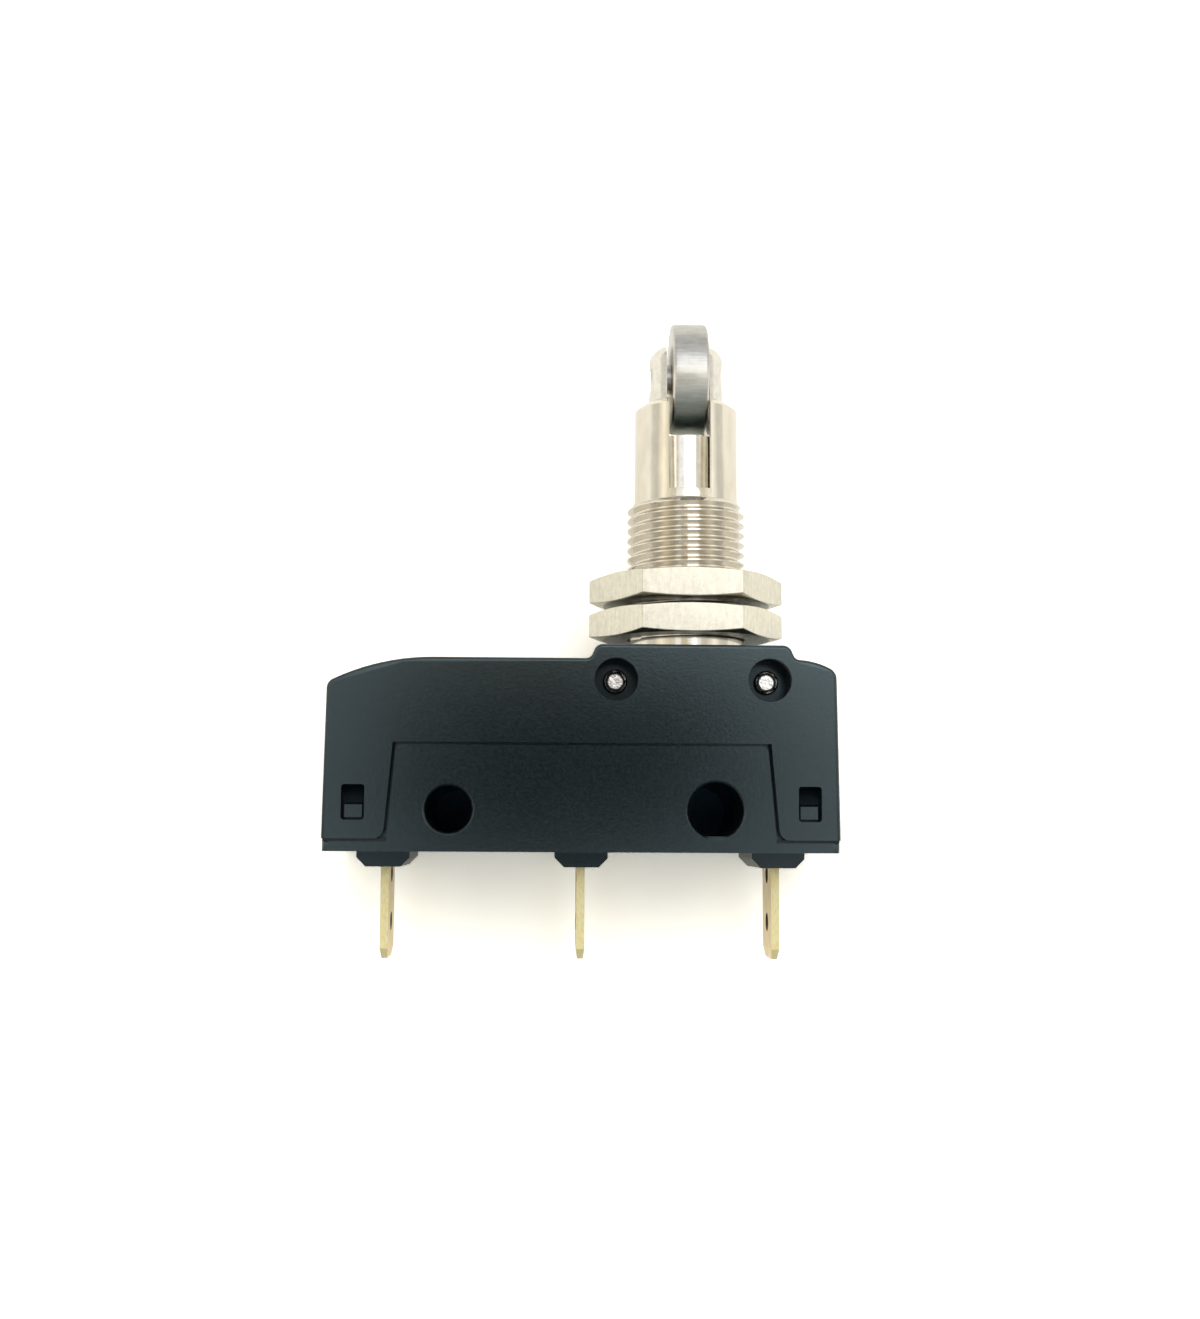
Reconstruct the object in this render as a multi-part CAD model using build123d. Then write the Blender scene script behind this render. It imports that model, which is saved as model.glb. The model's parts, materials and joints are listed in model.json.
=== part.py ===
from build123d import *
import math
import os

# Snap-action switch with a roller plunger in a threaded panel bush.
# Millimetres. X runs along the body, Y through its thickness (front is -Y), Z up along the plunger.
# The origin is the centre of the left mounting hole, at half the thickness.

# Mounting pattern and outline of the switch case
hole_pitch = 25.4
left_hole_radius = 2.2
right_hole_radius = 2.62
right_hole_flat_depth = 2.44
hole_chamfer = 0.26
hole_to_bottom = 4.0
hole_to_case_end = 11.9
body_thickness = 17.5
case_end_inset = 1.4
case_face_inset = 1.35
case_wall = 1.4
case_floor = 1.4
case_corner_radius = 0.6
flange_height = 0.98
flange_face_inset = 0.35
seat_land_inset = 0.35
rim_above_pad = 0.33
tube_wall = 1.32

# Raised pads that fill the cut-outs of the housing
cutout_to_window = 2.58
cutout_flare_deg = 5.0
cutout_foot_radius = 1.0
pad_side_seam = 0.35
pad_top_seam = 0.24
pad_above_holes = 6.12
pad_corner_radius = 0.6

# Snap fit of the housing on the case
window_from_end = 2.9
window_width = 2.2
window_height = 3.35
window_sill = -1.04
window_corner_radius = 0.3
catch_side_gap = 0.27
catch_sill_gap = 0.25
catch_height = 1.2
catch_lead = 0.8
catch_reach = 0.6
catch_root = 0.1
catch_pocket_depth = 1.0
catch_pocket_margin = 0.2

# Insulating collars and the three tabs
tab_pitch = 19.05
tab_width = 6.35
tab_thickness = 0.8
tab_reach = 10.4
tab_tip_taper = 1.05
tab_tip_thickness = 0.56
tab_tip_corner = 1.0
tab_hole_radius = 0.9
tab_lower_hole_from_tip = 3.5
tab_upper_hole_from_tip = 8.2
tab_slot_gap = 0.03
riser_width = 5.0
collar_top_width = 5.1
collar_bottom_width = 3.35
collar_height = 1.48
collar_straight = 0.6
collar_depth = 11.0

# Contact stack, from the right mounting tube upwards
strip_thickness = 0.6
strip_above_tube = 0.15
contact_radius = 1.2
contact_height = 0.5
contact_shank_radius = 0.7
contact_shank_gap = 0.03
contact_gap = 0.58
contact_to_middle = 16.9
moving_contact_height = 1.2
closed_gap = 0.05
roof_gap = 0.05
cover_roof = 1.0
strip_end_margin = 1.3

# Snap blade
blade_thickness = 0.3
blade_width = 5.0
blade_pivot_to_middle = 18.0
blade_tail = 1.6
blade_window_length = 9.6
blade_window_width = 3.6
blade_window_from_pivot = 5.4
blade_seat_gap = 0.05
snap_leaf_thickness = 0.2
snap_leaf_width = 3.0
snap_leaf_rise = 1.5
snap_leaf_drop = 0.35
snap_leaf_gap = 0.15
anchor_thickness = 0.6

# Button in the cover
button_radius = 1.5
button_gap = 0.08
button_above_cover = 1.81
button_collar_radius = 2.6
button_collar_height = 0.7
button_crown_radius = 0.3
button_nub_radius = 0.8
button_blade_gap = 0.05

# Actuator housing
housing_seam = 0.22
housing_fit = 0.1
housing_overhang = 0.03
housing_draft_deg = 0.9
housing_edge_radius = 0.35
housing_top_wall = 1.45
left_arc_length = 10.3
left_arc_radius = 22.0
left_corner_radius = 1.0
right_arc_length = 4.2
right_arc_radius = 7.3
right_corner_radius = 1.2
boss_rise = 1.37
boss_roof = 1.55
boss_base_half_width = 9.86
boss_top_half_width = 9.26
boss_corner_radius = 0.9
boss_root_radius = 0.7
rib_thickness = 1.0
rib_count = 2

# Threaded bush
bush_to_middle = 10.55
thread_crest_radius = 5.88
thread_above_boss = 15.15
thread_pitch = 1.0
thread_depth = 0.58
thread_crest_width = 0.16
thread_root_width = 0.2
neck_above_boss = 0.9
neck_radius = 5.7
sleeve_radius = 5.22
sleeve_length = 10.4
sleeve_chamfer_radial = 1.1
sleeve_chamfer_axial = 0.8
sleeve_slot_width = 4.1
sleeve_slot_above_thread = 0.9
foot_radius = 6.9
foot_height = 3.6
foot_above_cover = 1.51
foot_gap = 0.05
neck_gap = 0.1
plunger_gap = 0.07
spring_bore_radius = 4.5
shoulder_above_foot = 11.4

# Rivets that hold the bush in the housing
rivet_to_bush = 7.37
rivet_radius = 0.97
rivet_hole_gap = 0.03
rivet_head_radius = 1.18
rivet_head_height = 0.5
rivet_stub_radius = 0.7
rivet_stub_drop = 0.1
rivet_ring_drop = 0.17
rivet_groove_flank = 0.1
rivet_groove_depth = 0.25
rivet_recess_radius = 2.1
rivet_recess_depth = 3.3

# Plunger with its fork, roller and axle
plunger_radius = 3.8
plunger_travel = 5.5
roller_radius = 5.6
roller_width = 3.55
roller_chamfer = 0.35
roller_above_sleeve = 2.75
roller_bore_gap = 0.06
fork_slot_width = 4.3
fork_floor_gap = 1.05
fork_above_axle = 3.15
fork_top_radius = 1.6
axle_radius = 1.47
axle_hole_gap = 0.03
axle_end_inset = 0.35
axle_sink_radius = 1.85
axle_sink_depth = 0.35
axle_chamfer = 0.2
shank_radius = 3.2
shank_length = 3.0
plunger_bore_radius = 2.4
plunger_bore_depth = 13.3
plunger_lip = 0.8
plunger_lip_radius = 1.65

# Stop ring, return spring and its seat
stop_ring_thickness = 0.8
stop_ring_radius = 4.35
stop_ring_inner_radius = 2.97
stop_ring_mouth_deg = 70.0
stop_ring_gap = 0.03
stop_ring_to_shoulder = 0.05
return_wire = 0.7
return_mean_radius = 3.85
return_turns = 4.5
spring_end_gap = 0.05
seat_thickness = 0.8
seat_radius = 4.42
seat_hole_radius = 1.65
seat_to_plunger = 0.35
snap_ring_wire = 0.5
snap_ring_radius = 4.75
snap_ring_inner_radius = 3.9
snap_ring_groove_gap = 0.03
snap_ring_mouth_deg = 60.0

# Pusher pin and overtravel spring inside the plunger
pusher_radius = 1.4
pusher_head_radius = 2.3
pusher_head_height = 1.4
pusher_lip_gap = 0.05
pusher_to_button = 0.3
overtravel_wire = 0.5
overtravel_mean_radius = 1.95
overtravel_turns = 8

# Panel nuts
nut_wall = 2.57
nut_height = 2.85
nut_chamfer_deg = 12.0
nut_face_inset = 0.1
nut_thread_gap = 0.05
nut_above_boss = 1.3
nut_spacing = 0.6

# How far a cutting shape runs past what it cuts
past = 1.0

# Places worked out from the sizes
middle_x = hole_pitch / 2
bush_x = middle_x + bush_to_middle
case_half_length = middle_x + hole_to_case_end
half_thickness = body_thickness / 2
cutout_top_half_width = case_half_length - window_from_end - window_width / 2 - cutout_to_window
case_body_half = case_half_length - case_end_inset
case_face = half_thickness - case_face_inset
case_inner_half = case_body_half - case_wall
case_inner_face = case_face - case_wall
left_arc_start = case_half_length - left_arc_length
right_arc_start = case_half_length - right_arc_length
bottom_z = -hole_to_bottom
floor_z = bottom_z + case_floor
flange_top_z = bottom_z + flange_height
housing_bottom_z = flange_top_z + housing_seam
pad_top_z = pad_above_holes
cutout_top_z = pad_top_z + pad_top_seam
rim_z = pad_top_z + rim_above_pad
left_tube_radius = left_hole_radius + tube_wall
right_tube_radius = right_hole_radius + tube_wall
lower_strip_z = right_tube_radius + strip_above_tube
lower_contact_z = lower_strip_z + strip_thickness
moving_contact_z = lower_contact_z + contact_height + contact_gap
blade_z = moving_contact_z + (moving_contact_height - blade_thickness) / 2
upper_contact_z = moving_contact_z + moving_contact_height + closed_gap
upper_strip_z = upper_contact_z + contact_height
cover_roof_z = upper_strip_z + strip_thickness + roof_gap
cover_top_z = cover_roof_z + cover_roof
housing_seat_z = cover_top_z + housing_fit
foot_z = cover_top_z + foot_above_cover
foot_top_z = foot_z + foot_height
boss_top_z = foot_top_z + foot_gap + boss_roof
shoulder_z = boss_top_z - boss_rise
rivet_z = foot_z + foot_height / 2
rivet_end_y = half_thickness - rivet_recess_depth
thread_top_z = boss_top_z + thread_above_boss
thread_count = round((thread_above_boss - neck_above_boss) / thread_pitch)
thread_low_z = thread_top_z - thread_count * thread_pitch
sleeve_top_z = thread_top_z + sleeve_length
slot_floor_z = thread_top_z + sleeve_slot_above_thread
guide_shoulder_z = foot_z + shoulder_above_foot
axle_z = sleeve_top_z + roller_above_sleeve
fork_floor_z = axle_z - roller_radius - fork_floor_gap
fork_top_z = axle_z + fork_above_axle
stop_ring_z = guide_shoulder_z - stop_ring_to_shoulder - stop_ring_thickness
plunger_bottom_z = stop_ring_z - shank_length
seat_top_z = plunger_bottom_z - plunger_travel - seat_to_plunger
seat_z = seat_top_z - seat_thickness
snap_ring_z = seat_z - snap_ring_wire
button_top_z = cover_top_z + button_above_cover
pusher_tip_z = button_top_z + pusher_to_button
pusher_head_z = plunger_bottom_z + plunger_lip + pusher_lip_gap
lower_nut_z = boss_top_z + nut_above_boss
upper_nut_z = lower_nut_z + nut_height + nut_spacing
collar_bottom_z = bottom_z - collar_height
tab_tip_z = bottom_z - tab_reach
common_x = middle_x - tab_pitch
normally_closed_x = middle_x + tab_pitch
contact_x = middle_x + contact_to_middle
blade_pivot_x = middle_x - blade_pivot_to_middle
flare = math.tan(math.radians(cutout_flare_deg))
draft = math.tan(math.radians(housing_draft_deg))


def block(x0, x1, y0, y1, z0, z1):
    """Box between two corners."""
    return Pos((x0 + x1) / 2, (y0 + y1) / 2, (z0 + z1) / 2) * Box(x1 - x0, y1 - y0, z1 - z0)


def rod(radius, z0, z1, x=0.0, y=0.0):
    """Upright cylinder between two heights."""
    return Pos(x, y, (z0 + z1) / 2) * Cylinder(radius, z1 - z0)


def cross_rod(radius, x, z, reach):
    """Cylinder along Y, as long both ways from the middle of the thickness."""
    return Pos(x, 0, z) * Rot(90, 0, 0) * Cylinder(radius, 2 * reach)


def side_profile(*points):
    """Flat face in the XZ plane through the points (x, z)."""
    return make_face(Polyline(*[(x, 0, z) for x, z in points], close=True))


def through(profile, reach):
    """Extrude an XZ face the same distance to the front and to the back."""
    return extrude(profile, amount=reach, dir=(0, 1, 0), both=True)


def turned(*points):
    """Solid of revolution about Z from its half section (radius, z)."""
    return revolve(side_profile(*points), axis=Axis.Z)


def mirrored(shape):
    """The same shape on the other side of the mid-thickness plane."""
    return mirror(shape, about=Plane.XZ)


def trapezoid(top_half, top_z, low_z):
    """Face with sides that flare downwards from the top edge, centred on the body."""
    low_half = top_half + (top_z - low_z) * flare
    return side_profile(
        (middle_x - top_half, top_z),
        (middle_x + top_half, top_z),
        (middle_x + low_half, low_z),
        (middle_x - low_half, low_z),
    )


def edges_near(solid, points, reach=0.1):
    """Edges along Y of a solid that lie at the given (x, z) places."""
    def is_near(edge):
        place = edge.center()
        return any(math.hypot(place.X - x, place.Z - z) < reach for x, z in points)
    return [edge for edge in solid.edges().filter_by(Axis.Y) if is_near(edge)]


def make_pad():
    """Raised pads of both faces in one block, with rounded upper corners."""
    top_half = cutout_top_half_width + pad_top_seam * flare - pad_side_seam
    pad = through(trapezoid(top_half, pad_top_z, bottom_z), half_thickness)
    corners = [(middle_x + side * top_half, pad_top_z) for side in (-1, 1)]
    return fillet(edges_near(pad, corners), pad_corner_radius)


def catch(side):
    """Wedge on the front of the case that snaps into a window of the housing."""
    catch_x = middle_x + side * (case_half_length - window_from_end)
    foot = window_sill + catch_sill_gap
    tip_y = -case_face - catch_reach
    root_y = -case_face + catch_root
    section = make_face(Polyline(
        (catch_x, root_y, foot),
        (catch_x, tip_y, foot),
        (catch_x, tip_y, foot + catch_height),
        (catch_x, root_y, foot + catch_height + catch_lead),
        close=True,
    ))
    half_width = window_width / 2 - catch_side_gap
    return extrude(section, amount=half_width, dir=(1, 0, 0), both=True)


def catch_pocket(side):
    """Sloped pocket in the wall of the case that carries on the catch's lead behind the window."""
    catch_x = middle_x + side * (case_half_length - window_from_end)
    low_z = window_sill + catch_sill_gap + catch_height + catch_lead * catch_reach / (catch_reach + catch_root)
    high_z = window_sill + window_height + catch_pocket_margin
    section = make_face(Polyline(
        (catch_x, -case_face - past, low_z),
        (catch_x, -case_face, low_z),
        (catch_x, -case_face + catch_pocket_depth, high_z),
        (catch_x, -case_face - past, high_z),
        close=True,
    ))
    half_width = window_width / 2 + catch_pocket_margin
    return extrude(section, amount=half_width, dir=(1, 0, 0), both=True)


def collar(x):
    """Insulating collar round a tab, below the case."""
    top_half = collar_top_width / 2
    low_half = collar_bottom_width / 2
    section = side_profile(
        (x - top_half, bottom_z),
        (x - top_half, bottom_z - collar_straight),
        (x - low_half, collar_bottom_z),
        (x + low_half, collar_bottom_z),
        (x + top_half, bottom_z - collar_straight),
        (x + top_half, bottom_z),
    )
    return through(section, collar_depth / 2)


def mounting_hole(x, radius, flat_depth=None):
    """Cross hole with a small chamfer at both mouths, and a flat below where the floor is near."""
    hole = cross_rod(radius, x, 0, half_thickness + past)
    if flat_depth is not None:
        reach = half_thickness + 2 * past
        hole -= block(x - 2 * radius, x + 2 * radius, -reach, reach, -2 * radius, -flat_depth)
    for side in (-1, 1):
        mouth = Pos(x, side * half_thickness, 0) * Rot(90, 0, 0)
        cone = Cone(radius + 2 * hole_chamfer, radius, 2 * hole_chamfer)
        hole += mouth * (cone if side > 0 else Rot(180, 0, 0) * cone)
    return hole


def make_switch_case():
    """Deep case: terminal floor, mounting tubes, pads, catches, seating flange and collars."""
    upright = Axis.Z
    body = block(
        middle_x - case_body_half, middle_x + case_body_half, -case_face, case_face, bottom_z, rim_z)
    body = fillet(body.edges().filter_by(upright), case_corner_radius)
    flange_face = half_thickness - flange_face_inset
    flange = block(
        middle_x - case_half_length, middle_x + case_half_length,
        -flange_face, flange_face, bottom_z, flange_top_z)
    flange = fillet(flange.edges().filter_by(upright), case_corner_radius)
    body += flange
    body += block(
        middle_x - case_half_length + seat_land_inset, middle_x + case_half_length - seat_land_inset,
        -flange_face + seat_land_inset, flange_face - seat_land_inset, flange_top_z, housing_bottom_z)
    body += make_pad()
    cavity = block(
        middle_x - case_inner_half, middle_x + case_inner_half,
        -case_inner_face, case_inner_face, floor_z, rim_z + past)
    cavity -= cross_rod(left_tube_radius, 0, 0, half_thickness)
    cavity -= cross_rod(right_tube_radius, hole_pitch, 0, half_thickness)
    body -= cavity
    for side in (-1, 1):
        lug = catch(side)
        pocket = catch_pocket(side)
        body += lug
        body += mirrored(lug)
        body -= pocket
        body -= mirrored(pocket)
    for x in (common_x, middle_x, normally_closed_x):
        body += collar(x)
        slot_half = tab_thickness / 2 + tab_slot_gap
        slot_reach = tab_width / 2 + tab_slot_gap
        body -= block(
            x - slot_half, x + slot_half, -slot_reach, slot_reach, collar_bottom_z - past, floor_z + past)
    body -= mounting_hole(0, left_hole_radius)
    body -= mounting_hole(hole_pitch, right_hole_radius, right_hole_flat_depth)
    return body


def make_switch_cover():
    """Lid of the switch case, with the guide hole of the button."""
    cover = block(
        middle_x - case_body_half, middle_x + case_body_half, -case_face, case_face, rim_z, cover_top_z)
    cover = fillet(cover.edges().filter_by(Axis.Z), case_corner_radius)
    cover -= block(
        middle_x - case_inner_half, middle_x + case_inner_half,
        -case_inner_face, case_inner_face, rim_z - past, cover_roof_z)
    cover -= rod(button_radius + button_gap, cover_roof_z - past, cover_top_z + past, bush_x)
    return cover


def make_button():
    """Button: guided stem, retaining collar and a nub that rests over the blade."""
    blade_top = blade_z + blade_thickness
    collar_top = cover_roof_z - roof_gap
    collar_low = collar_top - button_collar_height
    button = rod(button_radius, collar_low, button_top_z, bush_x)
    button += rod(button_collar_radius, collar_low, collar_top, bush_x)
    button += rod(button_nub_radius, blade_top + button_blade_gap, collar_low, bush_x)
    crown = button.edges().filter_by(GeomType.CIRCLE).group_by(Axis.Z)[-1]
    return fillet(crown, button_crown_radius)


def tab(x, top_z):
    """Flat quick-connect tab with a tapered, cornered tip and two round holes."""
    half_width = tab_width / 2
    tip_half = half_width - tab_tip_corner
    front = make_face(Polyline(
        (x, -tip_half, tab_tip_z),
        (x, tip_half, tab_tip_z),
        (x, half_width, tab_tip_z + tab_tip_corner),
        (x, half_width, top_z),
        (x, -half_width, top_z),
        (x, -half_width, tab_tip_z + tab_tip_corner),
        close=True,
    ))
    plate = extrude(front, amount=tab_thickness / 2, dir=(1, 0, 0), both=True)
    taper_z = tab_tip_z + tab_tip_taper
    edge_view = side_profile(
        (x - tab_tip_thickness / 2, tab_tip_z),
        (x + tab_tip_thickness / 2, tab_tip_z),
        (x + tab_thickness / 2, taper_z),
        (x + tab_thickness / 2, top_z),
        (x - tab_thickness / 2, top_z),
        (x - tab_thickness / 2, taper_z),
    )
    plate &= through(edge_view, half_width)
    for height in (tab_lower_hole_from_tip, tab_upper_hole_from_tip):
        hole = Rot(0, 90, 0) * Cylinder(tab_hole_radius, 2 * tab_thickness)
        plate -= Pos(x, 0, tab_tip_z + height) * hole
    return plate


def riser(x, top_z):
    """Narrower leg of a terminal above the floor of the case."""
    half = tab_thickness / 2
    return block(x - half, x + half, -riser_width / 2, riser_width / 2, floor_z, top_z)


def strip(x0, x1, z0):
    """Horizontal contact strip of a terminal, with the hole of its contact rivet."""
    top_z = z0 + strip_thickness
    bar = block(x0, x1, -riser_width / 2, riser_width / 2, z0, top_z)
    return bar - rod(contact_shank_radius + contact_shank_gap, z0 - past, top_z + past, contact_x)


def make_common_terminal():
    """Left terminal: tab, leg, carrying shelf, knife edge for the blade and anchor of the snap leaf."""
    shelf_top = blade_z - snap_leaf_drop - snap_leaf_thickness - snap_leaf_gap
    outer = common_x - tab_thickness / 2
    anchor_x = blade_pivot_x + blade_window_from_pivot
    terminal = tab(common_x, floor_z)
    terminal += riser(common_x, shelf_top)
    half = riser_width / 2
    terminal += block(
        outer, anchor_x + anchor_thickness, -half, half, shelf_top - strip_thickness, shelf_top)
    terminal += block(
        outer, blade_pivot_x, -half, half, shelf_top - strip_thickness, blade_z - blade_seat_gap)
    return terminal


def make_normally_open_terminal():
    """Middle terminal: its strip passes over the right mounting tube to the lower contact."""
    strip_end = contact_x + strip_end_margin
    terminal = tab(middle_x, floor_z)
    terminal += riser(middle_x, lower_strip_z + strip_thickness)
    terminal += strip(middle_x - tab_thickness / 2, strip_end, lower_strip_z)
    return terminal


def make_normally_closed_terminal():
    """Right terminal: its leg climbs the end wall and its strip hangs over the upper contact."""
    terminal = tab(normally_closed_x, floor_z)
    terminal += riser(normally_closed_x, upper_strip_z + strip_thickness)
    terminal += strip(
        contact_x - strip_end_margin, normally_closed_x + tab_thickness / 2, upper_strip_z)
    return terminal


def make_fixed_contact(head_z, shank_z):
    """Contact rivet with its head towards the blade and its shank through the strip."""
    head = rod(contact_radius, head_z, head_z + contact_height, contact_x)
    return head + rod(contact_shank_radius, shank_z, shank_z + strip_thickness, contact_x)


def make_moving_contact():
    """Double-headed contact rivet in the free end of the blade."""
    top_z = moving_contact_z + moving_contact_height
    contact = rod(contact_radius, moving_contact_z, blade_z, contact_x)
    contact += rod(contact_radius, blade_z + blade_thickness, top_z, contact_x)
    contact += rod(contact_shank_radius, moving_contact_z, top_z, contact_x)
    return contact


def make_snap_blade():
    """Sprung blade: rounded contact end, window for the snap leaf and a tail on the knife edge."""
    half = blade_width / 2
    tip_x = contact_x + strip_end_margin
    blade = block(
        blade_pivot_x - blade_tail, tip_x, -half, half, blade_z, blade_z + blade_thickness)
    tip_edges = blade.edges().filter_by(Axis.Z).group_by(Axis.X)[-1]
    blade = fillet(tip_edges, half / 2)
    window_x = blade_pivot_x + blade_window_from_pivot
    blade -= block(
        window_x, window_x + blade_window_length,
        -blade_window_width / 2, blade_window_width / 2, blade_z - past, blade_z + past)
    blade -= rod(contact_shank_radius + contact_shank_gap, blade_z - past, blade_z + past, contact_x)
    return blade


def make_snap_leaf():
    """Bowed leaf between the anchor shelf and the far end of the blade's window."""
    start_x = blade_pivot_x + blade_window_from_pivot + blade_seat_gap
    end_x = blade_pivot_x + blade_window_from_pivot + blade_window_length - blade_seat_gap
    low_z = blade_z - snap_leaf_drop
    mid_x = (start_x + end_x) / 2
    far_z = blade_z + blade_thickness / 2
    crown_z = blade_z + snap_leaf_rise
    upper = ThreePointArc((start_x, 0, low_z), (mid_x, 0, crown_z), (end_x, 0, far_z))
    lower = ThreePointArc(
        (end_x, 0, far_z - snap_leaf_thickness),
        (mid_x, 0, crown_z - snap_leaf_thickness),
        (start_x, 0, low_z - snap_leaf_thickness),
    )
    section = make_face([
        upper, Line(upper @ 1, lower @ 0), lower, Line(lower @ 1, upper @ 0)])
    return through(section, snap_leaf_width / 2)


def housing_block():
    """Outer form of the housing, still solid, with the cut-outs for the pads."""
    low_half = case_half_length + housing_overhang
    top_half = low_half - (shoulder_z - housing_bottom_z) * draft
    profile = side_profile(
        (middle_x - low_half, housing_bottom_z),
        (middle_x + low_half, housing_bottom_z),
        (middle_x + top_half, shoulder_z),
        (middle_x - top_half, shoulder_z),
    )
    profile -= shoulder_waste(-1, left_arc_start, left_arc_radius)
    profile -= shoulder_waste(1, right_arc_start, right_arc_radius)
    form = through(profile, half_thickness)
    form = fillet(shoulder_corner(form, -1), left_corner_radius)
    form = fillet(shoulder_corner(form, 1), right_corner_radius)
    buried_half = 2 * boss_base_half_width - boss_top_half_width
    boss = side_profile(
        (bush_x - buried_half, shoulder_z - boss_rise),
        (bush_x - boss_top_half_width, boss_top_z),
        (bush_x + boss_top_half_width, boss_top_z),
        (bush_x + buried_half, shoulder_z - boss_rise),
    )
    form += through(boss, half_thickness)
    crown = [(bush_x + side * boss_top_half_width, boss_top_z) for side in (-1, 1)]
    form = fillet(edges_near(form, crown), boss_corner_radius)
    root = [(bush_x + side * boss_base_half_width, shoulder_z) for side in (-1, 1)]
    form = fillet(edges_near(form, root, boss_root_radius / 2), boss_root_radius)
    cutout = trapezoid(cutout_top_half_width, cutout_top_z, housing_bottom_z - past)
    form -= through(cutout, half_thickness + past)
    foot_half = cutout_top_half_width + (cutout_top_z - housing_bottom_z) * flare
    feet = [(middle_x + side * foot_half, housing_bottom_z) for side in (-1, 1)]
    return fillet(edges_near(form, feet), cutout_foot_radius)


def shoulder_waste(side, arc_start, radius):
    """Area above the arc in which a shoulder falls towards its end of the housing."""
    start_x = middle_x + side * arc_start
    end_x = middle_x + side * (case_half_length + past)
    low_z = shoulder_z - radius / 2
    corner = side_profile(
        (start_x, shoulder_z + past), (end_x, shoulder_z + past), (end_x, low_z), (start_x, low_z))
    disc = Pos(start_x, 0, shoulder_z - radius) * Rot(90, 0, 0) * Circle(radius)
    return corner - disc


def shoulder_corner(form, side):
    """Edge between an end wall and its shoulder arc."""
    upper = [edge for edge in form.edges().filter_by(Axis.Y) if edge.center().Z > cutout_top_z]
    return max(upper, key=lambda edge: side * edge.center().X)


def housing_hollow():
    """Space over the cover, left of the bush, under the roof and between ribs."""
    wall_x = middle_x - case_body_half - housing_fit
    end_x = bush_x - boss_base_half_width - housing_top_wall
    roof_z = shoulder_z - housing_top_wall
    reach = case_face + housing_fit
    section = side_profile(
        (wall_x, housing_seat_z), (end_x, housing_seat_z), (end_x, roof_z), (wall_x, roof_z))
    start_x = middle_x - left_arc_start
    arc_place = Pos(start_x, 0, shoulder_z - left_arc_radius) * Rot(90, 0, 0)
    under_arc = arc_place * Circle(left_arc_radius - housing_top_wall)
    low_z = housing_seat_z - past
    beyond_arc = side_profile(
        (start_x, low_z), (end_x + past, low_z), (end_x + past, shoulder_z), (start_x, shoulder_z))
    section &= under_arc + beyond_arc
    hollow = through(section, reach)
    for index in range(1, rib_count + 1):
        rib_x = wall_x + (end_x - wall_x) * index / (rib_count + 1)
        hollow -= block(
            rib_x - rib_thickness / 2, rib_x + rib_thickness / 2, -reach, reach, housing_seat_z, shoulder_z)
    return hollow


def make_actuator_housing():
    """Moulded housing that snaps over the switch and carries the bush."""
    housing = housing_block()
    faces = [housing.faces().sort_by(Axis.Y)[index] for index in (0, -1)]
    rim = []
    for face in faces:
        for edge in face.edges():
            place = edge.center()
            is_outer = abs(place.X - middle_x) > case_body_half
            is_above = place.Z > cutout_top_z + housing_edge_radius
            if is_above or is_outer and place.Z > housing_bottom_z + past:
                rim.append(edge)
    housing = fillet(rim, housing_edge_radius)
    inner_half = case_body_half + housing_fit
    inner_face = case_face + housing_fit
    housing -= block(
        middle_x - inner_half, middle_x + inner_half, -inner_face, inner_face,
        housing_bottom_z - past, housing_seat_z)
    housing -= housing_hollow()
    housing -= rod(foot_radius + neck_gap, housing_seat_z - past, foot_top_z + foot_gap, bush_x)
    housing -= rod(thread_crest_radius + neck_gap, foot_top_z, boss_top_z + past, bush_x)
    window_z = window_sill + window_height / 2
    for side in (-1, 1):
        window_x = middle_x + side * (case_half_length - window_from_end)
        opening = Pos(window_x, 0, window_z) * Rot(90, 0, 0) * RectangleRounded(
            window_width, window_height, window_corner_radius)
        housing -= through(opening, half_thickness + past)
        rivet_x = bush_x + side * rivet_to_bush
        housing -= cross_rod(rivet_radius + rivet_hole_gap, rivet_x, rivet_z, half_thickness)
        for face in (-1, 1):
            recess_y = face * (half_thickness + rivet_end_y) / 2
            recess = Rot(90, 0, 0) * Cylinder(rivet_recess_radius, rivet_recess_depth)
            housing -= Pos(rivet_x, recess_y, rivet_z) * recess
    return housing


def make_rivet(side):
    """Rivet along Y whose clenched ends show in the recesses: a rolled ring round a flat stub."""
    tip = rivet_end_y + rivet_head_height
    groove = (rivet_stub_radius + rivet_head_radius) / 2
    half = turned(
        (0, 0),
        (rivet_radius, 0),
        (rivet_radius, rivet_end_y),
        (rivet_head_radius, rivet_end_y),
        (rivet_head_radius, tip - rivet_ring_drop),
        (groove + rivet_groove_flank, tip),
        (groove - rivet_groove_flank, tip - rivet_groove_depth),
        (rivet_stub_radius, tip - rivet_groove_depth),
        (rivet_stub_radius, tip - rivet_stub_drop),
        (0, tip - rivet_stub_drop),
    )
    rivet = half + mirror(half, about=Plane.XY)
    return Pos(bush_x + side * rivet_to_bush, 0, rivet_z) * Rot(90, 0, 0) * rivet


def thread_outline():
    """Half section of the thread, with one crest for each pitch, from the neck to the sleeve."""
    root_radius = thread_crest_radius - thread_depth
    points = []
    for index in range(thread_count):
        low_z = thread_low_z + index * thread_pitch
        middle_z = low_z + thread_pitch / 2
        if index > 0:
            points.append((root_radius, low_z + thread_root_width / 2))
        points.append((thread_crest_radius, middle_z - thread_crest_width / 2))
        points.append((thread_crest_radius, middle_z + thread_crest_width / 2))
        points.append((root_radius, low_z + thread_pitch - thread_root_width / 2))
    points.append((root_radius, thread_top_z))
    return points


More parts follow.
